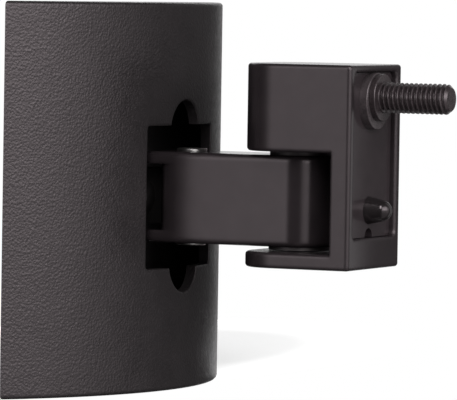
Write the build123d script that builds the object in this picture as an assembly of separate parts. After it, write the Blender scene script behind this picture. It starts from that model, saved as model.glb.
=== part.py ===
from build123d import *
import math
import os

os.makedirs("parts", exist_ok=True)

# Millimetres. The wall is the plane Y = 0 and the bracket stands out of it towards -Y.
# "out" is the distance from the wall, X is across and Z is up.
# The middle of the arm is at Z = 0.

# Cover
cover_height = 77.0
cover_width = 90.8
cover_wall = 2.2
bow_room = 2.82
cover_edge_round = 0.8
window_size = 28.4
window_corner = 0.8
relief_radius = 6.15
relief_rise = 4.95

# Wall plate
plate_thickness = 2.5
plate_side_gap = 0.3
plate_corner = 4.0
wall_screw_radius = 2.3
wall_screw_spacing = 54.0
wall_screw_sink = 1.6
ear_thickness = 3.0
ear_radius = 5.0
ear_foot_gap = 0.1
tab_width = 14.0
tab_height = 5.0
tab_thickness = 1.6
tab_gap = 0.1
bead_radius = 0.6
bead_up = 2.7
bead_play = 0.05

# Fits
running_fit = 0.05
fixed_play = 0.02
washer_gap = 0.1
round_relief = 0.4

# Tilt joint, level axle
axle_gap = 0.28
tilt_radius = 2.5
eye_radius = 4.6
eye_width = 14.4
tilt_washer = 0.9
tilt_head_radius = 4.0
tilt_head = 2.4
tilt_key = 3.0
tilt_key_depth = 1.4
tilt_nut_flats = 8.0
tilt_nut_height = 4.0
tilt_spring = 1.2
tilt_end = 0.8

# Arm and its upright pin
arm_width = 15.0
arm_height = 18.0
arm_round = 1.0
knuckle_reach = 10.9
arm_length = 24.0
arm_pin_radius = 2.0
arm_pin_head_radius = 3.0
arm_pin_head = 0.45
cheek_reach = 8.0
cheek_corner = 3.0
arm_swing = 30.0
arm_swing_spare = 3.0
tongue_width = 7.0
tongue_height = 11.0
arm_washer = 1.0

# Head pivot
head_pivot_radius = 2.5
head_pivot_wall = 0.85
head_pivot_head_radius = 4.2
head_pivot_head = 1.7
head_pivot_key = 3.0
head_pivot_key_depth = 1.1
bush_wall = 1.0
bush_depth = 6.0
bush_flange_radius = 6.2
bush_flange = 0.7
bush_flange_gap = 0.15

# Head
head_width = 24.6
head_back = 9.0
head_front = 15.9
head_back_round = 8.0
head_edge_round = 0.7
head_above = 17.2
lip = 3.1
lip_round = 0.7
slot_front_wall = 4.0
pocket_depth = 1.2
pocket_rim = 2.2
pocket_rim_top = 1.4
pocket_ledge = 6.1
pocket_corner = 1.2
pocket_edge = 0.35
insert_thickness = 1.6
insert_gap = 0.1
notch_radius = 1.8

# Captive screw and what stands on the front
screw_radius = 3.0
screw_waist = 0.45
screw_length = 25.0
screw_tip_out = 16.0
screw_hole = 0.3
screw_chamfer = 0.7
screw_head_radius = 5.0
screw_head = 6.0
screw_head_gap = 0.3
screw_key = 5.0
screw_key_depth = 3.0
collar_radius = 5.55
collar_play = 0.3
collar_top_gap = 0.17
collar_thickness = 1.7
collar_hang = 0.03
ring_radius = 4.65
ring_thickness = 1.1
ring_gap = 0.1
peg_below_screw = 22.1
peg_radius = 2.8
peg_nose_radius = 2.1
peg_length = 4.8
peg_spigot_radius = 1.4
peg_spigot = 1.2

# Places that follow from the sizes
nut_corner = tilt_nut_flats / math.sqrt(3)
tilt_out = plate_thickness + axle_gap + max(eye_radius, nut_corner, tilt_head_radius)
cover_bow = tilt_out + nut_corner + bow_room + cover_wall
cover_radius = ((cover_width / 2) ** 2 + cover_bow**2) / (2 * cover_bow)
arc_back = cover_radius - cover_bow
inner_radius = cover_radius - cover_wall
inner_half = cover_height / 2 - cover_wall
plate_half_x = math.sqrt(inner_radius**2 - (arc_back + plate_thickness) ** 2) - plate_side_gap
plate_half_z = inner_half - tab_gap
ear_in = eye_width / 2 + tilt_washer + washer_gap
ear_out = ear_in + ear_thickness
ear_foot = tilt_out - plate_thickness - max(tilt_head_radius, tilt_nut_flats / 2) - ear_foot_gap
bead_out = plate_thickness + bead_up
arm_pin_out = tilt_out + knuckle_reach
head_out = arm_pin_out + arm_length
back_out = head_out - head_back
front_out = head_out + head_front
slot_half = arm_height / 2 + bush_flange + bush_flange_gap
slot_out = front_out - slot_front_wall
head_top = slot_half + head_above
head_bottom = -slot_half - lip
floor_out = front_out - pocket_depth
recess_out = floor_out - insert_thickness
ledge_z = head_bottom + pocket_ledge
pocket_top = head_top - pocket_rim_top
pocket_half = head_width / 2 - pocket_rim
screw_neck_radius = screw_radius - screw_waist
collar_bore = screw_radius + collar_play
collar_drop = collar_bore - screw_neck_radius - collar_hang
screw_z = pocket_top - collar_top_gap - collar_radius + collar_drop
tip_out = front_out + screw_tip_out
seat_out = tip_out - screw_length
peg_z = screw_z - peg_below_screw
collar_z = screw_z - collar_drop
collar_front = floor_out + collar_thickness
ring_back = collar_front + ring_gap
ring_front = ring_back + ring_thickness
bush_radius = head_pivot_radius + running_fit + bush_wall
tongue_pocket = tongue_height / 2 + washer_gap + arm_washer
pivot_top = screw_z - screw_head_radius - screw_head_gap - head_pivot_wall


def block(x0, x1, out0, out1, z0, z1):
    middle = Pos((x0 + x1) / 2, -(out0 + out1) / 2, (z0 + z1) / 2)
    return middle * Box(x1 - x0, out1 - out0, z1 - z0)


def rod_x(radius, x0, x1, out, z=0.0):
    return Pos((x0 + x1) / 2, -out, z) * Rot(0, 90, 0) * Cylinder(radius, x1 - x0)


def rod_out(radius, out0, out1, z, x=0.0):
    return Pos(x, -(out0 + out1) / 2, z) * Rot(90, 0, 0) * Cylinder(radius, out1 - out0)


def rod_z(radius, z0, z1, out):
    return Pos(0, -out, (z0 + z1) / 2) * Cylinder(radius, z1 - z0)


def hex_across(flats, height):
    return extrude(RegularPolygon(flats / math.sqrt(3), 6), height)


def save(shape, name):
    shape.label = name
    export_step(shape, "parts/" + name + ".step")


# Front cover: a bowed shell, closed above and below and open to the wall
def bow(radius, behind, half_height):
    reach = 2 * cover_radius
    keep = Pos(0, behind - reach / 2) * Rectangle(2 * reach, reach)
    return extrude((Pos(0, arc_back) * Circle(radius)) & keep, half_height, both=True)


cover = bow(cover_radius, 0.0, cover_height / 2)
rims = [e for e in cover.edges().filter_by(GeomType.CIRCLE)]
cover = fillet(rims, cover_edge_round)
cover -= bow(inner_radius, cover_wall, inner_half)
window = RectangleRounded(window_size, window_size, window_corner)
for side in (1, -1):
    window += Pos(0, side * (window_size / 2 + relief_rise - relief_radius)) * Circle(relief_radius)
window_cut = extrude(Plane.XZ * window, cover_radius)
cover -= window_cut
for side in (1, -1):
    groove_z = side * plate_half_z
    groove = tab_width + 2 * bead_radius
    cover -= rod_x(bead_radius + bead_play, -groove / 2, groove / 2, bead_out, groove_z)
save(cover, "front_cover")

# Wall plate: flat plate, two ears for the axle, two snap tabs for the cover
plate_face = RectangleRounded(2 * plate_half_x, 2 * plate_half_z, plate_corner)
plate = extrude(Plane.XZ * plate_face, plate_thickness)
for side in (1, -1):
    ear = rod_x(ear_radius, ear_in, ear_out, tilt_out)
    ear += block(ear_in, ear_out, 0, tilt_out, -ear_radius, ear_radius)
    foot = block(ear_in, ear_out + ear_foot, 0, plate_thickness + ear_foot, -ear_radius, ear_radius)
    corner = Pos(ear_out + ear_foot, -(plate_thickness + ear_foot), 0) * Cylinder(ear_foot, 2 * ear_radius)
    ear += foot - corner
    if side < 0:
        ear = mirror(ear, about=Plane.YZ)
    plate += ear
    tab_z = side * (plate_half_z - tab_thickness / 2)
    tab_top = plate_thickness + tab_height
    tab_low = tab_z - tab_thickness / 2
    tab_high = tab_z + tab_thickness / 2
    plate += block(-tab_width / 2, tab_width / 2, 0, tab_top, tab_low, tab_high)
    plate += rod_x(bead_radius, -tab_width / 2, tab_width / 2, bead_out, side * plate_half_z)
    hole_z = side * wall_screw_spacing / 2
    plate -= rod_out(wall_screw_radius, 0, plate_thickness, hole_z)
    sink = Cone(wall_screw_radius, wall_screw_radius + wall_screw_sink, wall_screw_sink)
    plate -= Pos(0, -(plate_thickness - wall_screw_sink / 2), hole_z) * Rot(90, 0, 0) * sink
plate -= rod_x(tilt_radius + fixed_play, -ear_out, ear_out, tilt_out)
save(plate, "wall_plate")

# Level axle: bolt, spring washer and nut
bolt = rod_x(tilt_radius, -ear_out, ear_out + tilt_spring + tilt_nut_height + tilt_end, tilt_out)
bolt_head = rod_x(tilt_head_radius, -ear_out - tilt_head, -ear_out, tilt_out)
bolt_head = fillet(bolt_head.edges().group_by(Axis.X)[0], tilt_head / 4)
key = Pos(-ear_out - tilt_head, -tilt_out, 0) * Rot(0, 90, 0) * hex_across(tilt_key, tilt_key_depth)
save(bolt + (bolt_head - key), "tilt_bolt")

spring = rod_x(tilt_nut_flats / 2, ear_out, ear_out + tilt_spring, tilt_out)
spring -= rod_x(tilt_radius + fixed_play, ear_out, ear_out + tilt_spring, tilt_out)
split = tilt_spring / 4
spring -= block(ear_out, ear_out + tilt_spring, tilt_out, tilt_out + tilt_nut_flats, -split, split)
save(spring, "tilt_spring_washer")

nut = hex_across(tilt_nut_flats, tilt_nut_height)
nut = Pos(ear_out + tilt_spring, -tilt_out, 0) * Rot(0, 90, 0) * nut
nut -= rod_x(tilt_radius + fixed_play, ear_out, 2 * ear_out + tilt_nut_height, tilt_out)
save(nut, "tilt_nut")

# Knuckle: eye on the axle and a tongue with a round end about the arm's pin
tongue_half = tongue_width / 2
knuckle = rod_x(eye_radius, -eye_width / 2, eye_width / 2, tilt_out)
tongue = block(-tongue_half, tongue_half, tilt_out, arm_pin_out, -tongue_height / 2, tongue_height / 2)
tongue += rod_z(tongue_half, -tongue_height / 2, tongue_height / 2, arm_pin_out)
knuckle += tongue
knuckle -= rod_x(tilt_radius + running_fit, -eye_width / 2, eye_width / 2, tilt_out)
knuckle -= rod_z(arm_pin_radius + running_fit, -tongue_height / 2, tongue_height / 2, arm_pin_out)
save(knuckle, "knuckle")

for side, name in ((-1, "left"), (1, "right")):
    x0 = eye_width / 2
    ring = rod_x(eye_radius, x0, x0 + tilt_washer, tilt_out)
    ring -= rod_x(tilt_radius + running_fit, x0, x0 + tilt_washer, tilt_out)
    if side < 0:
        ring = mirror(ring, about=Plane.YZ)
    save(ring, "tilt_washer_" + name)

# Arm: link with round ends, two cheeks above and under the tongue's pocket and a bore for the head's pivot
arm_half = arm_height / 2
arm_plan = Pos(0, -(arm_pin_out + head_out) / 2) * Rot(0, 0, 90) * SlotCenterToCenter(arm_length, arm_width)
arm = extrude(arm_plan, arm_half, both=True)
cheek_plan = Pos(0, -(arm_pin_out - cheek_reach / 2)) * Rectangle(arm_width, cheek_reach)
cheek_plan = fillet(cheek_plan.vertices().group_by(Axis.Y)[-1], cheek_corner)
for side in (1, -1):
    arm += extrude(Pos(0, 0, side * tongue_pocket) * cheek_plan, side * (arm_half - tongue_pocket))
arm_rims = arm.edges().group_by(Axis.Z)[0] + arm.edges().group_by(Axis.Z)[-1]
arm = fillet(arm_rims, arm_round)
pocket_radius = tongue_half + round_relief
pocket = rod_z(pocket_radius, -tongue_pocket, tongue_pocket, arm_pin_out)
for turn in (-arm_swing - arm_swing_spare, 0, arm_swing + arm_swing_spare):
    way = Pos(0, arm_width / 2, 0) * Box(2 * pocket_radius, arm_width, 2 * tongue_pocket)
    pocket += Pos(0, -arm_pin_out, 0) * Rot(0, 0, turn) * way
arm -= pocket
arm -= rod_z(arm_pin_radius + fixed_play, -arm_half, arm_half, arm_pin_out)
arm -= rod_z(head_pivot_radius + bush_wall / 2, -arm_half, arm_half, head_out)
for side in (1, -1):
    z0, z1 = sorted((side * arm_half, side * (arm_half - bush_depth)))
    arm -= rod_z(bush_radius + fixed_play, z0, z1, head_out)
save(arm, "arm")

pin = rod_z(arm_pin_radius, -arm_half, arm_half, arm_pin_out)
dome_radius = (arm_pin_head_radius**2 + arm_pin_head**2) / (2 * arm_pin_head)
for side in (1, -1):
    ball = Pos(0, -arm_pin_out, side * (arm_half + arm_pin_head - dome_radius)) * Sphere(dome_radius)
    z0, z1 = sorted((side * arm_half, side * (arm_half + arm_pin_head)))
    pin += ball & rod_z(arm_pin_head_radius, z0, z1, arm_pin_out)
save(pin, "arm_pin")

for side, name in ((1, "upper"), (-1, "lower")):
    z0, z1 = sorted((side * tongue_pocket, side * (tongue_pocket - arm_washer)))
    disc = rod_z(tongue_half, z0, z1, arm_pin_out)
    disc -= rod_z(arm_pin_radius + fixed_play, z0, z1, arm_pin_out)
    save(disc, "arm_washer_" + name)
    z0, z1 = sorted((side * arm_half, side * (arm_half + bush_flange)))
    bush = rod_z(bush_flange_radius, z0, z1, head_out)
    y0, y1 = sorted((side * arm_half, side * (arm_half - bush_depth)))
    bush += rod_z(bush_radius, y0, y1, head_out)
    bush -= rod_z(head_pivot_radius + running_fit, -slot_half, slot_half, head_out)
    save(bush, "head_bush_" + name)

# Head: block with a slot for the arm behind and a shallow pocket in front
head_plan = Pos(0, -(back_out + front_out) / 2) * Rectangle(head_width, front_out - back_out)
head_plan = fillet(head_plan.vertices().group_by(Axis.Y)[-1], head_back_round)
head_plan = fillet(head_plan.vertices().group_by(Axis.Y)[0], head_edge_round)
head = Pos(0, 0, head_bottom) * extrude(head_plan, head_top - head_bottom)
head = fillet(head.edges().group_by(Axis.Z)[0] + head.edges().group_by(Axis.Z)[-1], head_edge_round)
slot_length = slot_out - back_out
slot_wide = 2 * head_width
slot = block(-slot_wide, slot_wide, back_out - slot_length, slot_out, -slot_half, slot_half)
head -= slot
mouth = [e for e in head.edges() if abs(abs(e.center().Z) - slot_half) < 1e-6]
mouth = [e for e in mouth if e.center().Y > -slot_out + 1e-6]
head = fillet(mouth, lip_round)
recess_height = pocket_top - ledge_z
recess_middle = (pocket_top + ledge_z) / 2
recess_face = RectangleRounded(2 * pocket_half, recess_height, pocket_corner)
recess = Pos(0, -recess_out, recess_middle) * extrude(Plane.XZ * recess_face, front_out - recess_out)
head -= recess
brim = [e for e in head.edges() if abs(e.center().Y + front_out) < 1e-6]
brim = [e for e in brim if abs(e.center().X) < pocket_half + 1e-6]
brim = [e for e in brim if ledge_z - 1e-6 < e.center().Z < pocket_top + 1e-6]
head = chamfer(brim, pocket_edge)
head -= rod_out(screw_radius + screw_hole, seat_out, front_out, screw_z)
head -= rod_out(screw_head_radius + screw_head_gap, back_out, seat_out, screw_z)
head -= rod_z(head_pivot_radius + fixed_play, head_bottom, pivot_top, head_out)
head -= rod_z(head_pivot_head_radius + fixed_play, head_bottom, head_bottom + head_pivot_head, head_out)
save(head, "head_block")

insert_half = pocket_half - insert_gap
insert_high = recess_height - 2 * insert_gap
insert_face = RectangleRounded(2 * insert_half, insert_high, pocket_corner - insert_gap)
insert_face -= Pos(0, -insert_high / 2) * Circle(notch_radius)
insert = Pos(0, -recess_out, recess_middle) * extrude(Plane.XZ * insert_face, insert_thickness)
insert -= rod_out(screw_radius + screw_hole, recess_out, floor_out, screw_z)
insert -= rod_out(peg_spigot_radius + fixed_play, recess_out, floor_out, peg_z)
save(insert, "front_insert")

# Locating pin: bullet shape turned about its own axis, with a spigot in the insert
nose_start = peg_length - peg_nose_radius
nose_turn = math.acos(peg_nose_radius / math.hypot(peg_radius, nose_start))
nose_turn -= math.atan2(nose_start, peg_radius)
nose_x = peg_nose_radius * math.cos(nose_turn)
nose_y = nose_start + peg_nose_radius * math.sin(nose_turn)
bullet = make_face(
    Line((0, -peg_spigot), (peg_spigot_radius, -peg_spigot))
    + Line((peg_spigot_radius, -peg_spigot), (peg_spigot_radius, 0))
    + Line((peg_spigot_radius, 0), (peg_radius, 0))
    + Line((peg_radius, 0), (nose_x, nose_y))
    + RadiusArc((nose_x, nose_y), (0, peg_length), -peg_nose_radius)
    + Line((0, peg_length), (0, -peg_spigot))
)
peg = revolve(bullet, Axis.Y)
save(Pos(0, -floor_out, peg_z) * Rot(180, 0, 0) * peg, "locating_pin")

# Pivot of the head: shoulder screw up through the lip and the arm
pivot = rod_z(head_pivot_radius, head_bottom + head_pivot_head, pivot_top, head_out)
pivot_head = rod_z(head_pivot_head_radius, head_bottom, head_bottom + head_pivot_head, head_out)
pivot_key = Pos(0, -head_out, head_bottom) * hex_across(head_pivot_key, head_pivot_key_depth)
save(pivot + (pivot_head - pivot_key), "head_pivot")

# Captive screw, waisted behind its thread, with the ring that keeps it in and the collar on it
thread = rod_out(screw_radius, ring_front, tip_out, screw_z)
thread = chamfer(thread.edges().group_by(Axis.Y)[0], screw_chamfer)
neck = rod_out(screw_neck_radius, seat_out, ring_front, screw_z)
screw_cap = rod_out(screw_head_radius, seat_out - screw_head, seat_out, screw_z)
screw_cap = chamfer(screw_cap.edges().group_by(Axis.Y)[-1], screw_head / 12)
key_place = Pos(0, -(seat_out - screw_head), screw_z)
screw_cap -= key_place * Rot(90, 0, 0) * hex_across(screw_key, screw_key_depth)
save(thread + neck + screw_cap, "mounting_screw")

collar = rod_out(collar_radius, floor_out, collar_front, collar_z)
collar -= rod_out(collar_bore, floor_out, collar_front, collar_z)
collar = fillet(collar.edges().filter_by(GeomType.CIRCLE).group_by(Axis.Y)[0], collar_thickness / 9)
save(collar, "stud_collar")

ring = rod_out(ring_radius, ring_back, ring_front, screw_z)
ring -= rod_out(screw_neck_radius + fixed_play, ring_back, ring_front, screw_z)
ring_rim = ring.edges().filter_by(GeomType.CIRCLE).group_by(Axis.Y)[0].sort_by(SortBy.RADIUS)[-1:]
ring = fillet(ring_rim, ring_thickness / 5)
save(ring, "screw_ring")
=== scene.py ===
import math

import bmesh
import bpy
from bpy.props import FloatProperty, FloatVectorProperty, IntProperty, PointerProperty
from mathutils import Matrix, Vector, noise


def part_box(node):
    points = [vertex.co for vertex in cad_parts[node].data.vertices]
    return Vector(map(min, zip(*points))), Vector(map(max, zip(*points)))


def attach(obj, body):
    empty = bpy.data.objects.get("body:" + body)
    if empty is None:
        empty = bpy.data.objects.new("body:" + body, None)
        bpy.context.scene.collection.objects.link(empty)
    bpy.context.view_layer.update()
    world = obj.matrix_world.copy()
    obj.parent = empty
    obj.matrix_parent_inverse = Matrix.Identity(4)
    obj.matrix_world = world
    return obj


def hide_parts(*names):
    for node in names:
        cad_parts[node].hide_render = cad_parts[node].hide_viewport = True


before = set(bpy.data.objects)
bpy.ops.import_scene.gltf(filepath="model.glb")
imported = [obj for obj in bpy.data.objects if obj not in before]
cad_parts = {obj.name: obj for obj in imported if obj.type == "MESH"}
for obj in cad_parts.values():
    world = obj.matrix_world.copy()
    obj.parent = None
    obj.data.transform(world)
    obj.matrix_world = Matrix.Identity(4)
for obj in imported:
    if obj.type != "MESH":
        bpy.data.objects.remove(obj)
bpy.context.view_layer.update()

bl_info = {
    "name": "Speaker wall bracket",
    "version": (1, 0, 0),
    "blender": (4, 5, 0),
    "location": "View3D > Sidebar > Bracket",
    "description": "Dresses a jointed wall bracket with its cover, castings, fasteners and stage",
    "category": "Add Mesh",
}

MM = 0.001
PHOTO_WIDTH = 457.0
SENSOR_WIDTH = 36.0

COVER_LOW, COVER_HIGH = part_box("front_cover")
SCREW_LOW, SCREW_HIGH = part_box("mounting_screw")
RING_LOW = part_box("screw_ring")[0]
BOLT_LOW, BOLT_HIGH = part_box("tilt_bolt")
NUT_LOW, NUT_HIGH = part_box("tilt_nut")
PIN_LOW, PIN_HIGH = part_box("arm_pin")
ARM_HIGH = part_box("arm")[1]

# A gap or a point too small to see, and the room between the captive screw's head and its seat
HAIR = 0.02 * MM
SEAT_GAP = 0.03 * MM

# The angles of a quarter round
QUARTER_STEPS = 6
QUARTER = [math.pi / 2 * k / QUARTER_STEPS for k in range(QUARTER_STEPS + 1)]

# A 60 degree thread: rings to each turn, and its depth, crest and root as shares of the pitch
THREAD_RINGS = 14
THREAD_DEPTH, THREAD_CREST, THREAD_ROOT = 0.6134, 0.14, 0.22

# The nut's chamfer in degrees, and the share of its flats that the chamfer leaves at its ends
NUT_CHAMFER = 30
NUT_CROWN = 0.95

# The cover's grain, measured by its own spacing: how fast and how far the pebbles wander, how steep
# they are, their share of the height, and how fast the slow swell under them changes
WANDER_RATE, WANDER = 0.6, 0.35
PEBBLE_SLOPE, PEBBLE_SHARE = 1.6, 0.75
SWELL_RATE = 0.45

# A face of the cover that is nearer to level than this is shaded flat
LEVEL_FACE = 0.999

# The tint of the shine on every finish, the usual middle range of a noise texture, how round the
# pebbles in the shading are, the detail of a finish's skin, and the samples that soften an edge
SHINE = (1.0, 0.87, 0.91, 1)
NOISE_LOW, NOISE_HIGH = 0.3, 0.7
PEBBLE_SMOOTHNESS = 0.7
SKIN_DETAIL = 2
EDGE_SAMPLES = 6

# The points of the floor's rim, its white, its gap under the cover, and how far in from the rim its
# glow fades
FLOOR_POINTS = 96
FLOOR_WHITE = 0.92
FLOOR_DROP = 0.2 * MM
FLOOR_FADE = 0.35

# Angles from the line of sight, in degrees, between which the surround goes over into the white
# background that metal mirrors
BACKDROP_EDGE, BACKDROP_FULL = 16, 10

# Brightness of the studio round the bracket: the bearing in degrees from the near side (-X),
# turning towards the room (-Y), and how bright the surround is there
SURROUND = (
    (-180, 0.1),
    (-172, 0.25),
    (-165, 0.9),
    (-128, 0.9),
    (-112, 0.08),
    (-46, 0.05),
    (-36, 0.55),
    (-27, 1.4),
    (-19, 1.9),
    (-14, 0.06),
    (24, 0.05),
    (31, 1.1),
    (60, 1.15),
    (78, 1.1),
    (102, 1.05),
    (112, 0.5),
    (122, 0.09),
    (180, 0.08),
)

# The same for the height angle in degrees, as a factor
HEIGHTS = (
    (-90, 0.3),
    (-25, 0.4),
    (-6, 0.85),
    (3, 1.0),
    (11, 1.8),
    (24, 1.8),
    (35, 0.3),
    (90, 0.1),
)


# Settings


def length(name, default, description):
    """A size in metres, shown in the file's length unit."""
    return FloatProperty(
        name=name, description=description, default=default, unit="LENGTH", precision=5
    )


def angle(name, degrees, description):
    """An angle, given in degrees and kept in radians."""
    return FloatProperty(
        name=name, description=description, default=math.radians(degrees), subtype="ANGLE"
    )


def share(name, default, description, top=1.0):
    """A plain number from zero to top."""
    return FloatProperty(name=name, description=description, default=default, min=0.0, max=top)


def colour(name, default, description):
    """A linear colour."""
    return FloatVectorProperty(
        name=name,
        description=description,
        default=default,
        size=3,
        subtype="COLOR",
        min=0.0,
        max=1.0,
    )


class CoverSettings(bpy.types.PropertyGroup):
    """Sizes and finish of the bowed front cover."""

    wall: length("Wall", 2.2 * MM, "Thickness of the cover's wall")
    edge: length("Edge round", 0.8 * MM, "Radius along the upper and lower rims")
    window: length("Window", 28.4 * MM, "Side of the square window for the arm")
    corner: length("Window corner", 0.8 * MM, "Radius in the window's corners")
    relief: length("Relief", 6.15 * MM, "Radius of the round relief above and below the window")
    relief_rise: length("Relief rise", 4.95 * MM, "How far the reliefs reach past the window")
    window_edge: length("Window edge", 0.35 * MM, "Radius that softens the window's outer edge")
    pitch: length("Mesh pitch", 0.285 * MM, "Spacing of the mesh that carries the grain")
    grain: length("Grain", 0.95 * MM, "Distance from one pebble of the grain to the next")
    grain_depth: length("Grain depth", 0.02 * MM, "Height of the pebbles that the mesh carries")
    grain_seed: IntProperty(
        name="Grain seed", description="Picks one of many like grains", default=7, min=1
    )
    grain_bump: length("Grain bump", 0.068 * MM, "Height of the smaller pebbles in the shading")
    fine_bump: length("Fine bump", 0.03 * MM, "Height of the finest grain in the shading")
    tint: colour("Colour", (0.0165, 0.0145, 0.0152), "Black of the moulded plastic")
    roughness: share("Roughness", 0.36, "Roughness between the pebbles")


class CastingSettings(bpy.types.PropertyGroup):
    """Finish of the arm, the head, the front insert and the locating pin."""

    tint: colour("Colour", (0.02, 0.016, 0.0175), "Black of the satin paint")
    roughness: share("Roughness", 0.235, "Roughness of the paint on the head")
    arm_roughness: share("Arm roughness", 0.195, "Roughness of the paint on the arm")
    arm_soft: length("Arm edges", 1.2 * MM, "How far the paint softens the arm's edges")
    head_soft: length("Head edges", 0.7 * MM, "How far the paint softens the head's edges")
    insert_tint: colour("Insert colour", (0.026, 0.0205, 0.0225), "Black of the front insert")
    insert_roughness: share("Insert roughness", 0.22, "Roughness of the front insert")
    peg_tint: colour("Pin colour", (0.013, 0.011, 0.0115), "Black of the locating pin")
    peg_roughness: share("Pin roughness", 0.15, "Roughness of the glossy locating pin")


class FastenerSettings(bpy.types.PropertyGroup):
    """Sizes and finish of the screw, the axle, the arm's pin and the large washer."""

    thread_radius: length("Stud radius", 3.0 * MM, "Radius of the stud's M6 thread")
    thread_pitch: length("Stud pitch", 1.0 * MM, "Pitch of the stud's M6 thread")
    bolt_pitch: length("Bolt pitch", 0.8 * MM, "Pitch of the axle bolt's M5 thread")
    chamfer: length("Tip chamfer", 0.75 * MM, "Chamfer at the tip of the stud")
    head_radius: length("Head radius", 5.0 * MM, "Radius of the captive screw's head")
    head_height: length("Head height", 6.0 * MM, "Height of the captive screw's head")
    key: length("Key", 5.0 * MM, "Width across the flats of the head's socket")
    key_depth: length("Key depth", 3.0 * MM, "Depth of the head's socket")
    neck_radius: length("Neck radius", 2.55 * MM, "Radius of the screw behind its thread")
    bolt_radius: length("Bolt radius", 2.5 * MM, "Radius of the axle bolt")
    bolt_head: length("Bolt head", 2.4 * MM, "Height of the axle bolt's head")
    bolt_key: length("Bolt key", 3.0 * MM, "Width across the flats of the axle bolt's socket")
    bolt_key_depth: length("Bolt key depth", 1.4 * MM, "Depth of the axle bolt's socket")
    pin_radius: length("Pin radius", 2.0 * MM, "Radius of the arm's upright pin")
    pin_head: length("Pin head", 0.6 * MM, "Height of the pin's heads above and under the arm")
    segments: IntProperty(
        name="Segments", description="Points round a turned piece", default=96, min=24
    )
    tint: colour("Colour", (0.0265, 0.0205, 0.022), "Black oxide on steel")
    roughness: share("Roughness", 0.3, "Roughness of the black oxide")
    gloss: share("Gloss", 0.62, "Specular level of the black oxide")
    collar_tint: colour("Washer colour", (0.046, 0.038, 0.0405), "Black of the large washer")
    steel_tint: colour("Steel colour", (0.27, 0.26, 0.255), "Bare steel of the arm's pin")
    steel_roughness: share("Steel roughness", 0.36, "Roughness of the bare steel")


class PlateSettings(bpy.types.PropertyGroup):
    """Finish of the wall plate, the knuckle and the friction washers."""

    plate_tint: colour("Plate colour", (0.012, 0.011, 0.0113), "Black of the wall plate")
    plate_gloss: share("Plate gloss", 0.3, "Specular level of the wall plate's coat")
    # Painted shade: the knuckle's black and gloss sit below the plate's so that it stays as dark as
    # the shade inside the cover
    knuckle_shaded_tint: colour("Knuckle colour", (0.005, 0.0045, 0.0046), "Black of the knuckle")
    knuckle_gloss: share("Knuckle gloss", 0.12, "Specular level of the knuckle's coat")
    roughness: share("Coat roughness", 0.6, "Roughness of the powder coat")
    washer_tint: colour("Washer colour", (0.03, 0.028, 0.028), "Nylon of the friction washers")
    washer_roughness: share("Washer roughness", 0.45, "Roughness of the nylon")


class StageSettings(bpy.types.PropertyGroup):
    """Camera, floor, lamps and card."""

    focal_pixels: share("Focal length", 4965.3, "In pixels of a picture 457 pixels wide", 1e5)
    distance: length("Distance", 0.99641, "Camera's level distance from the origin")
    height: length("Height", 0.04246, "Camera's height over the origin")
    bearing: angle("Bearing", 63.0746, "Side angle of the camera from straight in front")
    aim: angle("Aim", 64.4508, "Side angle of the line of sight")
    pitch_down: angle("Pitch", 2.4961, "How far the line of sight points down")
    roll: angle("Roll", 0.9243, "Turn of the camera about its line of sight")
    floor_length: length("Floor length", 0.26, "Length of the white floor along the wall")
    floor_width: length("Floor width", 0.12, "Width of the white floor")
    floor_side: length("Floor side", 0.07, "How far the floor's middle lies to the far side")
    floor_back: length("Floor back", 0.046, "How far the floor's middle lies behind the wall plane")
    floor_glow: share("Floor glow", 0.44, "Part of the floor's white that no shadow takes away")
    lamp_level: share("Softbox level", 3.0, "Brightness of the softbox on the room side", 100)
    lamp_bearing: angle("Softbox bearing", 63.0, "Bearing of the softbox from the near side")
    lamp_rise: angle("Softbox rise", 22.0, "Height angle of the softbox")
    lamp_distance: length("Softbox distance", 0.65, "Distance of the softbox from the bracket")
    lamp_width: length("Softbox width", 0.6, "Width of the softbox")
    lamp_height: length("Softbox height", 0.42, "Height of the softbox")
    key_level: share("Key level", 10.0, "Brightness of the lamp above the camera", 100)
    key_bearing: angle("Key bearing", 21.0, "Bearing of the lamp above the camera")
    key_rise: angle("Key rise", 40.0, "Height angle of the lamp above the camera")
    key_distance: length("Key distance", 0.8, "Distance of the lamp above the camera")
    key_width: length("Key width", 0.14, "Width of the lamp above the camera")
    key_height: length("Key height", 0.45, "Height of the lamp above the camera")
    card_level: share("Card level", 0.6, "Brightness of the card beside the head's front", 100)
    card_width: length("Card width", 0.009, "Width of the small card")
    card_height: length("Card height", 0.055, "Height of the small card")
    card_away: length("Card distance", 0.033, "Distance of the card from the head's near edge")


# Meshes


def new_object(name, verts, faces):
    """A smooth-shaded mesh object in the scene, with its normals pointing out."""
    mesh = bpy.data.meshes.new(name)
    mesh.from_pydata([tuple(v) for v in verts], [], faces)
    work = bmesh.new()
    work.from_mesh(mesh)
    bmesh.ops.recalc_face_normals(work, faces=work.faces)
    work.to_mesh(mesh)
    work.free()
    mesh.shade_smooth()
    piece = bpy.data.objects.new(name, mesh)
    bpy.context.scene.collection.objects.link(piece)
    return piece


def place(piece, body, node, material):
    """Puts a new piece in the node's place, on its body and with its finish."""
    piece.data.materials.append(material)
    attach(piece, body)
    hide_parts(node)


def sharpen(piece, degrees):
    """Keeps edges crisp where two faces meet at more than this angle."""
    piece.data.set_sharp_from_angle(angle=math.radians(degrees))


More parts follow.
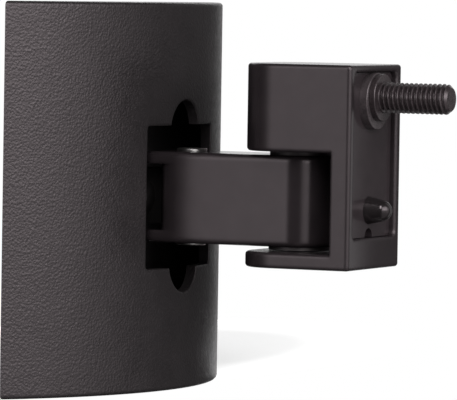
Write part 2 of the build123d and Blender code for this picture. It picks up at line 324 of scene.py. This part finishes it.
def turned(name, rings, segments, place_point, closed=False):
    """A piece turned about an axis. Each ring is (distance along the axis, radius), and a radius
    may be a function of the angle. place_point(along, radius, turn) gives the point. A closed
    stack is a hollow ring."""
    turns = [2 * math.pi * i / segments for i in range(segments)]
    verts = []
    for along, radius in rings:
        for turn in turns:
            verts.append(place_point(along, radius(turn) if callable(radius) else radius, turn))
    faces = []
    count = len(rings)
    for k in range(count if closed else count - 1):
        low, high = k * segments, (k + 1) % count * segments
        for i in range(segments):
            j = (i + 1) % segments
            faces.append((low + i, low + j, high + j, high + i))
    if not closed:
        faces.append(tuple(range(segments)))
        faces.append(tuple(range((count - 1) * segments, count * segments)))
    return new_object(name, verts, faces)


def prism(name, outline, low, high, place_point):
    """A closed prism on an outline. place_point(u, v, w) gives the point."""
    count = len(outline)
    verts = [place_point(u, v, w) for w in (low, high) for u, v in outline]
    faces = [(i, (i + 1) % count, count + (i + 1) % count, count + i) for i in range(count)]
    faces += [tuple(range(count)), tuple(range(count, 2 * count))]
    return new_object(name, verts, faces)


def carve(piece, *cutters):
    """Cuts the cutters out of the piece and removes them."""
    for cutter in cutters:
        step = piece.modifiers.new(cutter.name, "BOOLEAN")
        step.operation = "DIFFERENCE"
        step.solver = "EXACT"
        step.object = cutter
    bpy.context.view_layer.update()
    ready = piece.evaluated_get(bpy.context.evaluated_depsgraph_get())
    carved = bpy.data.meshes.new_from_object(ready)
    piece.modifiers.clear()
    piece.data = carved
    for cutter in cutters:
        bpy.data.objects.remove(cutter)


def arc(x, z, radius, turns):
    """Points round a centre at these angles."""
    return [(x + radius * math.cos(turn), z + radius * math.sin(turn)) for turn in turns]


def hexagon(flats):
    """Radius of a hexagon of that width across its flats, by angle."""
    sixth = math.pi / 3
    return lambda turn: flats / 2 / math.cos((turn % sixth) - sixth / 2)


def thread_rings(start, end, radius, pitch, chamfer):
    """Rings of a thread from start to end, run out at the start and chamfered at the end."""
    direction = 1 if end > start else -1
    span = abs(end - start)
    run_out = pitch / 4
    count = int(span / pitch * THREAD_RINGS)
    rings = []
    for k in range(count + 1):
        along = span * k / count
        depth = THREAD_DEPTH * pitch * min(1.0, along / run_out)
        taper = radius - max(0.0, along - (span - chamfer))

        def at(turn, along=along, depth=depth, taper=taper):
            phase = abs((along / pitch - direction * turn / (2 * math.pi)) % 1.0 - 0.5) * 2
            flank = (phase - THREAD_CREST) / (1 - THREAD_CREST - THREAD_ROOT)
            return min(radius - depth * min(1.0, max(0.0, flank)), taper)

        rings.append((start + direction * along, at))
    return rings


# Nodes


def add_node(tree, kind, inputs=None, **choices):
    """Adds a shader node with its choices. An input, by name or number, takes a socket or value."""
    node = tree.nodes.new("ShaderNode" + kind)
    for name, choice in choices.items():
        setattr(node, name, choice)
    for key, value in (inputs or {}).items():
        if isinstance(value, bpy.types.NodeSocket):
            tree.links.new(value, node.inputs[key])
        else:
            node.inputs[key].default_value = value
    return node


def math_node(tree, operation, *values, **choices):
    """The result of an operation on sockets or plain numbers."""
    node = add_node(tree, "Math", dict(enumerate(values)), operation=operation, **choices)
    return node.outputs[0]


def map_range(tree, source, low, high, to_low=0.0, to_high=1.0):
    """The source, mapped from low and high to a new range that it doesn't leave."""
    ends = {"From Min": low, "From Max": high, "To Min": to_low, "To Max": to_high}
    return add_node(tree, "MapRange", {"Value": source, **ends}).outputs["Result"]


def level_ramp(tree, source, levels):
    """A ramp of grey levels over the source, each at its place from nought to one."""
    ramp = add_node(tree, "ValToRGB", {"Fac": source})
    stops = ramp.color_ramp.elements
    while len(stops) > 1:
        stops.remove(stops[-1])
    for k, (spot, level) in enumerate(levels):
        stop = stops[0] if k == 0 else stops.new(spot)
        stop.position = spot
        stop.color = (level, level, level, 1)
    return ramp.outputs["Color"]


# Finishes


class Finish:
    """A material whose Principled shader is fed by textures in the piece's own coordinates."""

    def __init__(self, name, tint, roughness):
        self.material = bpy.data.materials.new(name)
        self.material.use_nodes = True
        self.tree = self.material.node_tree
        self.sockets = self.tree.nodes["Principled BSDF"].inputs
        self.sockets["Base Color"].default_value = (*tint, 1)
        self.sockets["Roughness"].default_value = roughness
        self.sockets["Specular Tint"].default_value = SHINE
        self.tint = tint
        self.roughness = roughness
        self.spot = add_node(self.tree, "TexCoord").outputs["Object"]
        self.normal = None

    def noise(self, size, detail):
        """Soft noise whose blotches are about this size, in metres."""
        inputs = {"Vector": self.spot, "Scale": 1 / size, "Detail": detail}
        return add_node(self.tree, "TexNoise", inputs).outputs["Fac"]

    def pebbles(self, size):
        """Rounded cells of about this size, in metres."""
        inputs = {"Vector": self.spot, "Scale": 1 / size, "Smoothness": PEBBLE_SMOOTHNESS}
        return add_node(self.tree, "TexVoronoi", inputs, feature="SMOOTH_F1").outputs["Distance"]

    def mottle(self, source, amount):
        """Varies the colour by this share about its own value."""
        dark, light = ((*[c * level for c in self.tint], 1) for level in (1 - amount, 1 + amount))
        factor = map_range(self.tree, source, NOISE_LOW, NOISE_HIGH)
        inputs = {"A": dark, "B": light, "Factor": factor}
        node = add_node(self.tree, "Mix", inputs, data_type="RGBA")
        self.tree.links.new(node.outputs["Result"], self.sockets["Base Color"])

    def wear(self, source, amount):
        """Varies the roughness by this much about its own value."""
        low, high = self.roughness - amount, self.roughness + amount
        value = map_range(self.tree, source, NOISE_LOW, NOISE_HIGH, low, high)
        self.tree.links.new(value, self.sockets["Roughness"])

    def soften(self, radius):
        """Rounds sharp edges in the shading by this radius."""
        self.bend(add_node(self.tree, "Bevel", {"Radius": radius}, samples=EDGE_SAMPLES))

    def raise_by(self, source, height, strength=1.0):
        """Raises the surface by the source, up to this height in metres."""
        inputs = {"Height": source, "Distance": height, "Strength": strength}
        if self.normal:
            inputs["Normal"] = self.normal
        self.bend(add_node(self.tree, "Bump", inputs))

    def bend(self, node):
        """Shades the surface by this node's normal from here on."""
        self.normal = node.outputs["Normal"]
        self.tree.links.new(self.normal, self.sockets["Normal"])

    def vary(self, mottle, wear, skin):
        """Gives the surface its blotches and its skin. mottle and wear are (size, detail, amount),
        and skin is (size, height, strength)."""
        size, detail, amount = mottle
        self.mottle(self.noise(size, detail), amount)
        size, detail, amount = wear
        self.wear(self.noise(size, detail), amount)
        size, height, strength = skin
        self.raise_by(self.noise(size, SKIN_DETAIL), height, strength)


def grained_plastic(settings):
    """Moulded black plastic with a leather-like grain."""
    finish = Finish("grained_plastic", settings.tint, settings.roughness)
    finish.raise_by(finish.pebbles(settings.grain / 2), settings.grain_bump)
    finish.vary(
        mottle=(6 * MM, 3, 0.12),
        wear=(1.1 * MM, 2, 0.05),
        skin=(0.3 * MM, settings.fine_bump, 1.0),
    )
    return finish.material


def satin_paint(name, tint, roughness, soft):
    """Satin black paint over a casting, with a faint orange peel."""
    finish = Finish(name, tint, roughness)
    finish.soften(soft)
    finish.vary(
        mottle=(4 * MM, 3, 0.1),
        wear=(0.6 * MM, 3, 0.025),
        skin=(0.5 * MM, 0.002 * MM, 0.5),
    )
    return finish.material


def insert_paint(settings):
    """Smooth black on the front insert."""
    finish = Finish("insert_paint", settings.insert_tint, settings.insert_roughness)
    finish.soften(0.1 * MM)
    finish.vary(
        mottle=(3 * MM, 2, 0.1),
        wear=(0.8 * MM, 3, 0.02),
        skin=(0.7 * MM, 0.001 * MM, 0.4),
    )
    return finish.material


def glossy_black(settings):
    """Glossy black on the locating pin."""
    finish = Finish("glossy_black", settings.peg_tint, settings.peg_roughness)
    finish.vary(
        mottle=(1.5 * MM, 2, 0.15),
        wear=(0.6 * MM, 3, 0.03),
        skin=(0.5 * MM, 0.001 * MM, 0.4),
    )
    return finish.material


def black_oxide(name, tint, settings):
    """Black oxide on steel, a little uneven."""
    finish = Finish(name, tint, settings.roughness)
    finish.sockets["Specular IOR Level"].default_value = settings.gloss
    finish.soften(0.08 * MM)
    finish.vary(
        mottle=(1.2 * MM, 3, 0.25),
        wear=(0.4 * MM, 3, 0.06),
        skin=(0.25 * MM, 0.002 * MM, 0.5),
    )
    return finish.material


def plain_steel(settings):
    """Bare turned steel."""
    finish = Finish("plain_steel", settings.steel_tint, settings.steel_roughness)
    finish.sockets["Metallic"].default_value = 1.0
    finish.soften(0.1 * MM)
    finish.vary(
        mottle=(0.8 * MM, 3, 0.15),
        wear=(0.3 * MM, 3, 0.06),
        skin=(0.2 * MM, 0.001 * MM, 0.5),
    )
    return finish.material


def matt_coat(name, tint, gloss, roughness):
    """Matt black powder coat on the wall plate, and a darker copy on the knuckle whose black is
    painted shade for the shade inside the cover.
    """
    finish = Finish(name, tint, roughness)
    finish.sockets["Specular IOR Level"].default_value = gloss
    finish.soften(0.2 * MM)
    finish.vary(
        mottle=(2 * MM, 3, 0.15),
        wear=(0.5 * MM, 2, 0.06),
        skin=(0.3 * MM, 0.01 * MM, 0.5),
    )
    return finish.material


def washer_nylon(settings):
    """Dark nylon of the friction washers and bushes."""
    finish = Finish("washer_nylon", settings.washer_tint, settings.washer_roughness)
    finish.soften(0.1 * MM)
    finish.vary(
        mottle=(1.5 * MM, 2, 0.15),
        wear=(0.4 * MM, 2, 0.05),
        skin=(0.3 * MM, 0.003 * MM, 0.5),
    )
    return finish.material


def dress(material, *nodes):
    """Gives carried-over nodes their finish."""
    for name in nodes:
        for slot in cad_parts[name].material_slots:
            slot.material = material


# Cover


def cover_arc():
    """Radius of the cover's bow, and how far its centre lies behind the wall plane."""
    bow = -COVER_LOW.y
    radius = (COVER_HIGH.x**2 + bow**2) / (2 * bow)
    return radius, radius - bow


def window_gap(settings, x, z):
    """Distance from a point of the cover to the window's outline, less than zero inside it."""
    half = settings.window / 2
    flat = half - settings.corner
    dx, dz = abs(x) - flat, abs(z) - flat
    square = math.hypot(max(dx, 0), max(dz, 0)) + min(max(dx, dz), 0) - settings.corner
    middle = half + settings.relief_rise - settings.relief
    return min(square, math.hypot(x, abs(z) - middle) - settings.relief)


def grain_height(settings, x, out, z):
    """Height of the pebbled grain at a point of the cover, from nought to one."""
    point = Vector((x, out, z)) / settings.grain
    wander = noise.noise_vector(point * WANDER_RATE) * WANDER
    near, second = noise.voronoi(point + wander)[0][:2]
    pebble = min(1.0, (second - near) * PEBBLE_SLOPE)
    swell = 0.5 + 0.5 * noise.noise(point * SWELL_RATE)
    return PEBBLE_SHARE * pebble + (1 - PEBBLE_SHARE) * swell


def cover_blank(settings):
    """The cover as a solid segment, with its grain and its rounded rims, before it is hollowed."""
    noise.seed_set(settings.grain_seed)
    half_width, half_height = COVER_HIGH.x, COVER_HIGH.z
    radius, behind = cover_arc()
    rim = [
        (settings.edge * (1 - math.sin(turn)), half_height - settings.edge * (1 - math.cos(turn)))
        for turn in QUARTER
    ]
    straight = 2 * (half_height - settings.edge)
    rows = int(straight / settings.pitch)
    middle = [(0.0, half_height - settings.edge - straight * k / rows) for k in range(1, rows)]
    profile = rim + middle + [(inset, -z) for inset, z in reversed(rim)]
    columns = int(2 * radius * math.asin(half_width / radius) / settings.pitch)
    verts = []
    for inset, z in profile:
        reach = math.acos(behind / (radius - inset))
        for i in range(columns + 1):
            turn = reach * (2 * i / columns - 1)
            ring = radius - inset
            x = ring * math.sin(turn)
            room = min((reach - abs(turn)) * radius, half_height - abs(z))
            pebble = grain_height(settings, x, ring * math.cos(turn), z)
            ring -= settings.grain_depth * min(1.0, room / settings.grain) * (1 - pebble)
            gap = window_gap(settings, x, z)
            if gap < settings.window_edge:
                rise = max(gap, 0) / settings.window_edge
                ring -= settings.window_edge * (1 - math.sqrt(1 - (1 - rise) ** 2))
            verts.append((ring * math.sin(turn), min(0.0, behind - ring * math.cos(turn)), z))
    faces = []
    wide = columns + 1
    for k in range(len(profile) - 1):
        for i in range(columns):
            low = k * wide + i
            faces.append((low, low + 1, low + wide + 1, low + wide))
    last = (len(profile) - 1) * wide
    faces.append(tuple(range(wide)))
    faces.append(tuple(range(last, last + wide)))
    left = [k * wide for k in range(len(profile))]
    right = [k * wide + columns for k in reversed(range(len(profile)))]
    faces.append(tuple(left + right))
    return new_object("cover_shell", verts, faces)


def cavity_cutter(settings):
    """The space inside the cover, open towards the wall."""
    radius, behind = cover_arc()
    inner = radius - settings.wall
    reach = math.acos((behind - settings.wall) / inner)
    steps = 120
    outline = []
    for i in range(steps + 1):
        turn = reach * (2 * i / steps - 1)
        outline.append((inner * math.sin(turn), behind - inner * math.cos(turn)))
    half = COVER_HIGH.z - settings.wall
    return prism("cavity", outline, -half, half, lambda u, v, w: (u, v, w))


def window_cutter(settings):
    """The square window with its two round reliefs."""
    half = settings.window / 2
    flat = half - settings.corner
    middle = half + settings.relief_rise - settings.relief
    start = math.asin((half - middle) / settings.relief)
    span = math.pi - 2 * start
    steps = 32
    across = [math.pi - start - span * k / steps for k in range(steps + 1)]
    upper = arc(-flat, flat, settings.corner, [math.pi - turn for turn in QUARTER])
    upper += arc(0.0, middle, settings.relief, across)
    upper += arc(flat, flat, settings.corner, reversed(QUARTER))
    outline = upper + [(-x, -z) for x, z in upper]
    deep = COVER_LOW.y - settings.wall
    return prism("window", outline, deep, 0.0, lambda u, v, w: (u, w - settings.wall, v))


class BRACKET_OT_cover(bpy.types.Operator):
    """Make the bowed, grained cover with its window"""

    bl_idname = "bracket.cover"
    bl_label = "Front cover"

    def execute(self, context):
        settings = context.scene.bracket_cover
        shell = cover_blank(settings)
        carve(shell, cavity_cutter(settings), window_cutter(settings))
        for face in shell.data.polygons:
            if abs(face.normal.z) > LEVEL_FACE:
                face.use_smooth = False
        sharpen(shell, degrees=40)
        place(shell, "wall_base", "front_cover", grained_plastic(settings))
        return {"FINISHED"}


# Castings


class BRACKET_OT_castings(bpy.types.Operator):
    """Paint the arm, the head, the insert and the locating pin"""

    bl_idname = "bracket.castings"
    bl_label = "Castings"

    def execute(self, context):
        settings = context.scene.bracket_casting
        tint = settings.tint
        arm_paint = satin_paint("arm_paint", tint, settings.arm_roughness, settings.arm_soft)
        head_paint = satin_paint("head_paint", tint, settings.roughness, settings.head_soft)
        dress(arm_paint, "arm")
        dress(head_paint, "head_block")
        dress(insert_paint(settings), "front_insert")
        dress(glossy_black(settings), "locating_pin")
        return {"FINISHED"}


# Fasteners


class BRACKET_OT_screw(bpy.types.Operator):
    """Make the captive screw with its M6 thread and its socket head"""

    bl_idname = "bracket.screw"
    bl_label = "Captive screw"

    def execute(self, context):
        settings = context.scene.bracket_fastener
        centre = (SCREW_LOW.z + SCREW_HIGH.z) / 2
        back, tip = -SCREW_HIGH.y, -SCREW_LOW.y
        seat = back + settings.head_height - SEAT_GAP
        thread = -RING_LOW.y
        socket = hexagon(settings.key)
        floor = back + settings.key_depth
        drill_point = settings.key / 12
        bevel = settings.head_height / 12
        fillet = bevel / 3
        under = bevel / 4
        rings = [
            (floor + drill_point, HAIR),
            (floor, socket),
            (back + fillet, socket),
            (back, lambda turn: socket(turn) + fillet),
            (back, settings.head_radius - bevel),
            (back + bevel, settings.head_radius),
            (seat - under, settings.head_radius),
            (seat, settings.head_radius - under),
            (seat, settings.neck_radius + fillet),
            (seat + fillet, settings.neck_radius),
            (thread - HAIR, settings.neck_radius),
        ]
        rings += thread_rings(
            thread, tip, settings.thread_radius, settings.thread_pitch, settings.chamfer
        )
        screw = turned(
            "captive_screw_thread",
            rings,
            settings.segments,
            lambda along, r, turn: (r * math.cos(turn), -along, centre + r * math.sin(turn)),
        )
        sharpen(screw, degrees=35)
        finish = black_oxide("black_oxide", settings.tint, settings)
        place(screw, "captive_screw", "mounting_screw", finish)
        dress(finish, "screw_ring", "head_pivot", "tilt_spring_washer")
        dress(black_oxide("washer_oxide", settings.collar_tint, settings), "stud_collar")
        return {"FINISHED"}


def about_axle(along, radius, turn):
    """A point round the level axle."""
    middle = (BOLT_LOW.y + BOLT_HIGH.y) / 2
    return (along, middle + radius * math.cos(turn), radius * math.sin(turn))


def axle_bolt(settings):
    """The axle's bolt, with a round socket head and its thread from the nut on."""
    start, end = BOLT_LOW.x, BOLT_HIGH.x
    radius = settings.bolt_radius
    head_radius = (BOLT_HIGH.z - BOLT_LOW.z) / 2
    shank = start + settings.bolt_head
    socket = hexagon(settings.bolt_key)
    floor = start + settings.bolt_key_depth
    bevel = settings.bolt_head / 4
    drill_point = bevel / 3
    lead = bevel / 4
    rings = [
        (floor + drill_point, HAIR),
        (floor, socket),
        (start + lead, socket),
        (start, lambda turn: socket(turn) + lead),
    ]
    rings += [
        (start + bevel * (1 - math.sin(turn)), head_radius - bevel * (1 - math.cos(turn)))
        for turn in reversed(QUARTER)
    ]
    thread = NUT_LOW.x
    rings += [(shank, head_radius), (shank, radius), (thread - HAIR, radius)]
    rings += thread_rings(thread, end, radius, settings.bolt_pitch, settings.bolt_pitch / 2)
    return turned("axle_bolt_thread", rings, settings.segments, about_axle)


def axle_nut(settings):
    """The axle's hexagon nut, chamfered at both ends."""
    low, high = NUT_LOW.x, NUT_HIGH.x
    flats = NUT_HIGH.y - NUT_LOW.y
    outer = hexagon(flats)
    slope = math.tan(math.radians(NUT_CHAMFER))

    def crown(along):
        room = min(along - low, high - along)
        return lambda turn: min(outer(turn), flats / 2 * NUT_CROWN + room / slope)

    bore = settings.bolt_radius + HAIR
    flare = settings.bolt_pitch / 2
    steps = 10
    sides = [low + (high - low) * k / steps for k in range(steps + 1)]
    rings = [(low + flare, bore), (low, bore + flare)]
    rings += [(along, crown(along)) for along in sides]
    rings += [(high, bore + flare), (high - flare, bore)]
    return turned("axle_nut_chamfered", rings, settings.segments, about_axle, closed=True)


class BRACKET_OT_axle(bpy.types.Operator):
    """Make the level axle's bolt and nut"""

    bl_idname = "bracket.axle"
    bl_label = "Tilt axle"

    def execute(self, context):
        settings = context.scene.bracket_fastener
        finish = bpy.data.materials["black_oxide"]
        bolt = axle_bolt(settings)
        sharpen(bolt, degrees=35)
        place(bolt, "wall_base", "tilt_bolt", finish)
        nut = axle_nut(settings)
        sharpen(nut, degrees=25)
        place(nut, "wall_base", "tilt_nut", finish)
        return {"FINISHED"}


class BRACKET_OT_pin(bpy.types.Operator):
    """Make the arm's upright pin with its two flat heads"""

    bl_idname = "bracket.pin"
    bl_label = "Arm pin"

    def execute(self, context):
        settings = context.scene.bracket_fastener
        middle = (PIN_LOW.y + PIN_HIGH.y) / 2
        radius = (PIN_HIGH.x - PIN_LOW.x) / 2
        seat = ARM_HIGH.z
        top = seat + settings.pin_head
        edge = settings.pin_head / 3
        upper = [(seat, settings.pin_radius), (seat, radius)]
        upper += [
            (top - edge * (1 - math.sin(turn)), radius - edge * (1 - math.cos(turn)))
            for turn in QUARTER
        ]
        upper.append((top, radius / 2))
        lower = [(-along, r) for along, r in reversed(upper)]
        pin = turned(
            "arm_pin_headed",
            lower + upper,
            settings.segments,
            lambda along, r, turn: (r * math.cos(turn), middle + r * math.sin(turn), along),
        )
        sharpen(pin, degrees=35)
        place(pin, "swing_arm", "arm_pin", plain_steel(settings))
        return {"FINISHED"}


class BRACKET_OT_small_parts(bpy.types.Operator):
    """Finish the wall plate, the knuckle and the friction washers"""

    bl_idname = "bracket.small_parts"
    bl_label = "Plate, knuckle and washers"

    def execute(self, context):
        settings = context.scene.bracket_plate
        tint, gloss = settings.plate_tint, settings.plate_gloss
        dress(matt_coat("matt_coat", tint, gloss, settings.roughness), "wall_plate")
        # The knuckle gets a darker, less glossy copy of the plate's coat: painted shade for the
        # shade it lies in inside the cover
        tint, gloss = settings.knuckle_shaded_tint, settings.knuckle_gloss
        dress(matt_coat("knuckle_coat", tint, gloss, settings.roughness), "knuckle")
        washers = [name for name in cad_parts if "washer" in name and "spring" not in name]
        bushes = [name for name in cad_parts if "bush" in name]
        dress(washer_nylon(settings), *washers, *bushes)
        return {"FINISHED"}


# Stage


def background_rays(tree, mirrored=1.0):
    """One for rays from the camera, and the given share for mirrored and refracted rays."""
    path = add_node(tree, "LightPath").outputs
    bounced = math_node(tree, "ADD", path["Is Glossy Ray"], path["Is Transmission Ray"])
    camera = path["Is Camera Ray"]
    return math_node(tree, "MULTIPLY_ADD", bounced, mirrored, camera, use_clamp=True)


def white_floor(settings):
    """White that keeps a faint shadow and goes over into the background at the floor's rim."""
    material = bpy.data.materials.new("studio_floor")
    material.use_nodes = True
    tree = material.node_tree
    tree.nodes.clear()
    spot = add_node(tree, "TexCoord").outputs["Object"]
    inward = add_node(tree, "TexGradient", {"Vector": spot}, gradient_type="SPHERICAL")
    level = map_range(tree, inward.outputs["Fac"], 0.0, FLOOR_FADE, 1.0, settings.floor_glow)
    strength = math_node(tree, "MULTIPLY", level, background_rays(tree))
    white = (FLOOR_WHITE, FLOOR_WHITE, FLOOR_WHITE, 1)
    matt = add_node(tree, "BsdfDiffuse", {"Color": white}).outputs[0]
    glow = add_node(tree, "Emission", {"Strength": strength}).outputs[0]
    both = add_node(tree, "AddShader", {0: matt, 1: glow}).outputs[0]
    add_node(tree, "OutputMaterial", {"Surface": both})
    return material


def studio_world(scene, backdrop):
    """A white background, which metal mirrors on the side of the backdrop, and a surround of
    softboxes and dark gaps that lights the bracket and shows in its other reflections."""
    world = bpy.data.worlds.new("studio")
    scene.world = world
    world.use_nodes = True
    tree = world.node_tree
    tree.nodes.clear()
    way = add_node(tree, "TexCoord").outputs["Generated"]
    parts = add_node(tree, "SeparateXYZ", {0: way}).outputs
    near, room = (math_node(tree, "MULTIPLY", parts[axis], -1.0) for axis in ("X", "Y"))
    around = map_range(tree, math_node(tree, "ARCTAN2", room, near), -math.pi, math.pi)
    upward = map_range(tree, parts["Z"], -1.0, 1.0)
    sides = [((degrees + 180) / 360, level) for degrees, level in SURROUND]
    rises = [((math.sin(math.radians(rise)) + 1) / 2, level) for rise, level in HEIGHTS]
    colour_here = level_ramp(tree, around, sides)
    strength_here = level_ramp(tree, upward, rises)
    surround = add_node(tree, "Background", {"Color": colour_here, "Strength": strength_here})
    white = add_node(tree, "Background", {"Color": (1, 1, 1, 1)})
    facing = add_node(tree, "VectorMath", {0: way, 1: backdrop}, operation="DOT_PRODUCT")
    rim, full = (math.cos(math.radians(degrees)) for degrees in (BACKDROP_EDGE, BACKDROP_FULL))
    mirrored = map_range(tree, facing.outputs["Value"], rim, full)
    both = {
        "Fac": background_rays(tree, mirrored),
        1: surround.outputs[0],
        2: white.outputs[0],
    }
    mix = add_node(tree, "MixShader", both)
    add_node(tree, "OutputWorld", {"Surface": mix.outputs[0]})


def lay_floor(settings):
    """Lays the small white floor that takes the bracket's shadow."""
    turns = [2 * math.pi * k / FLOOR_POINTS for k in range(FLOOR_POINTS)]
    rim = [(math.cos(turn), math.sin(turn), 0) for turn in turns]
    floor = new_object("studio_floor", rim, [tuple(range(FLOOR_POINTS))])
    spread = Matrix.Diagonal((settings.floor_length / 2, settings.floor_width / 2, 1, 1))
    middle = Vector((settings.floor_side, settings.floor_back, COVER_LOW.z - FLOOR_DROP))
    floor.matrix_world = Matrix.Translation(middle) @ spread
    floor.data.materials.append(white_floor(settings))


def glowing_panel(scene, name, spot, way, size, level):
    """A flat lamp at the spot that shines back against the way. A level of one is white."""
    width, height = size
    lamp = bpy.data.lights.new(name, "AREA")
    lamp.shape = "RECTANGLE"
    lamp.size = width
    lamp.size_y = height
    lamp.energy = level * math.pi * width * height
    holder = bpy.data.objects.new(name, lamp)
    turn = way.to_track_quat("Z", "Y").to_matrix().to_4x4()
    holder.matrix_world = Matrix.Translation(spot) @ turn
    holder.visible_camera = False
    scene.collection.objects.link(holder)


def hang_lamps(scene, settings):
    """Hangs the softbox, the lamp above the camera and the small card beside the head's front."""
    for name in ("lamp", "key"):
        level, side, rise, away, width, height = (
            getattr(settings, f"{name}_{part}")
            for part in ("level", "bearing", "rise", "distance", "width", "height")
        )
        way = Vector((-math.cos(side), -math.sin(side), 0)) * math.cos(rise)
        way.z = math.sin(rise)
        glowing_panel(scene, name, way * away, way, (width, height), level)
    low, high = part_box("head_block")
    mirror = Vector((math.sin(settings.aim), -math.cos(settings.aim), 0))
    inward = Vector((math.cos(settings.aim), math.sin(settings.aim), 0))
    edge = Vector((low.x, low.y, (low.z + high.z) / 2))
    inset = settings.card_width / 5
    spot = edge + mirror * settings.card_away - inward * inset
    size = (settings.card_width, settings.card_height)
    glowing_panel(scene, "card", spot, mirror, size, settings.card_level)


def aim_camera(scene, settings):
    """Puts the camera where the photograph was taken from."""
    bearing, aim = settings.bearing, settings.aim
    down, roll = settings.pitch_down, settings.roll
    eye = Vector((-math.sin(bearing), -math.cos(bearing), 0)) * settings.distance
    eye.z = settings.height
    ahead = Vector((math.sin(aim), math.cos(aim), 0)) * math.cos(down)
    ahead.z = -math.sin(down)
    right = Vector((math.cos(aim), -math.sin(aim), 0))
    up = right.cross(ahead)
    rolled = right * math.cos(roll) + up * math.sin(roll)
    upright = up * math.cos(roll) - right * math.sin(roll)
    data = bpy.data.cameras.new("photo_camera")
    data.sensor_width = SENSOR_WIDTH
    data.lens = settings.focal_pixels * SENSOR_WIDTH / PHOTO_WIDTH
    data.clip_start = 0.01
    camera = bpy.data.objects.new("photo_camera", data)
    turn = Matrix((rolled, upright, -ahead)).transposed().to_4x4()
    camera.matrix_world = Matrix.Translation(eye) @ turn
    scene.collection.objects.link(camera)
    scene.camera = camera


class BRACKET_OT_stage(bpy.types.Operator):
    """Set up the floor, the studio light and the camera"""

    bl_idname = "bracket.stage"
    bl_label = "Stage"

    def execute(self, context):
        scene = context.scene
        settings = scene.bracket_stage
        scene.view_settings.view_transform = "Standard"
        studio_world(scene, (math.sin(settings.aim), math.cos(settings.aim), 0))
        lay_floor(settings)
        hang_lamps(scene, settings)
        aim_camera(scene, settings)
        return {"FINISHED"}


# Add-on


class BRACKET_PT_panel(bpy.types.Panel):
    """Lists the bracket's pieces and their settings"""

    bl_idname = "BRACKET_PT_panel"
    bl_label = "Speaker wall bracket"
    bl_space_type = "VIEW_3D"
    bl_region_type = "UI"
    bl_category = "Bracket"

    def draw(self, context):
        for operator in OPERATORS:
            self.layout.operator(operator.bl_idname)
        for group, cls in SETTINGS.items():
            box = self.layout.box()
            for name in cls.__annotations__:
                box.prop(getattr(context.scene, group), name)


SETTINGS = {
    "bracket_cover": CoverSettings,
    "bracket_casting": CastingSettings,
    "bracket_fastener": FastenerSettings,
    "bracket_plate": PlateSettings,
    "bracket_stage": StageSettings,
}
OPERATORS = (
    BRACKET_OT_cover,
    BRACKET_OT_castings,
    BRACKET_OT_screw,
    BRACKET_OT_axle,
    BRACKET_OT_pin,
    BRACKET_OT_small_parts,
    BRACKET_OT_stage,
)


def register():
    """Registers the classes and puts the settings on the scene."""
    for cls in (*SETTINGS.values(), *OPERATORS, BRACKET_PT_panel):
        bpy.utils.register_class(cls)
    for name, cls in SETTINGS.items():
        setattr(bpy.types.Scene, name, PointerProperty(type=cls))


def unregister():
    """Takes away what register adds."""
    for name in SETTINGS:
        delattr(bpy.types.Scene, name)
    for cls in reversed((*SETTINGS.values(), *OPERATORS, BRACKET_PT_panel)):
        bpy.utils.unregister_class(cls)


def main():
    """Makes every piece and the stage."""
    register()
    bpy.ops.bracket.cover()
    bpy.ops.bracket.castings()
    bpy.ops.bracket.screw()
    bpy.ops.bracket.axle()
    bpy.ops.bracket.pin()
    bpy.ops.bracket.small_parts()
    bpy.ops.bracket.stage()


if __name__ == "__main__":
    main()
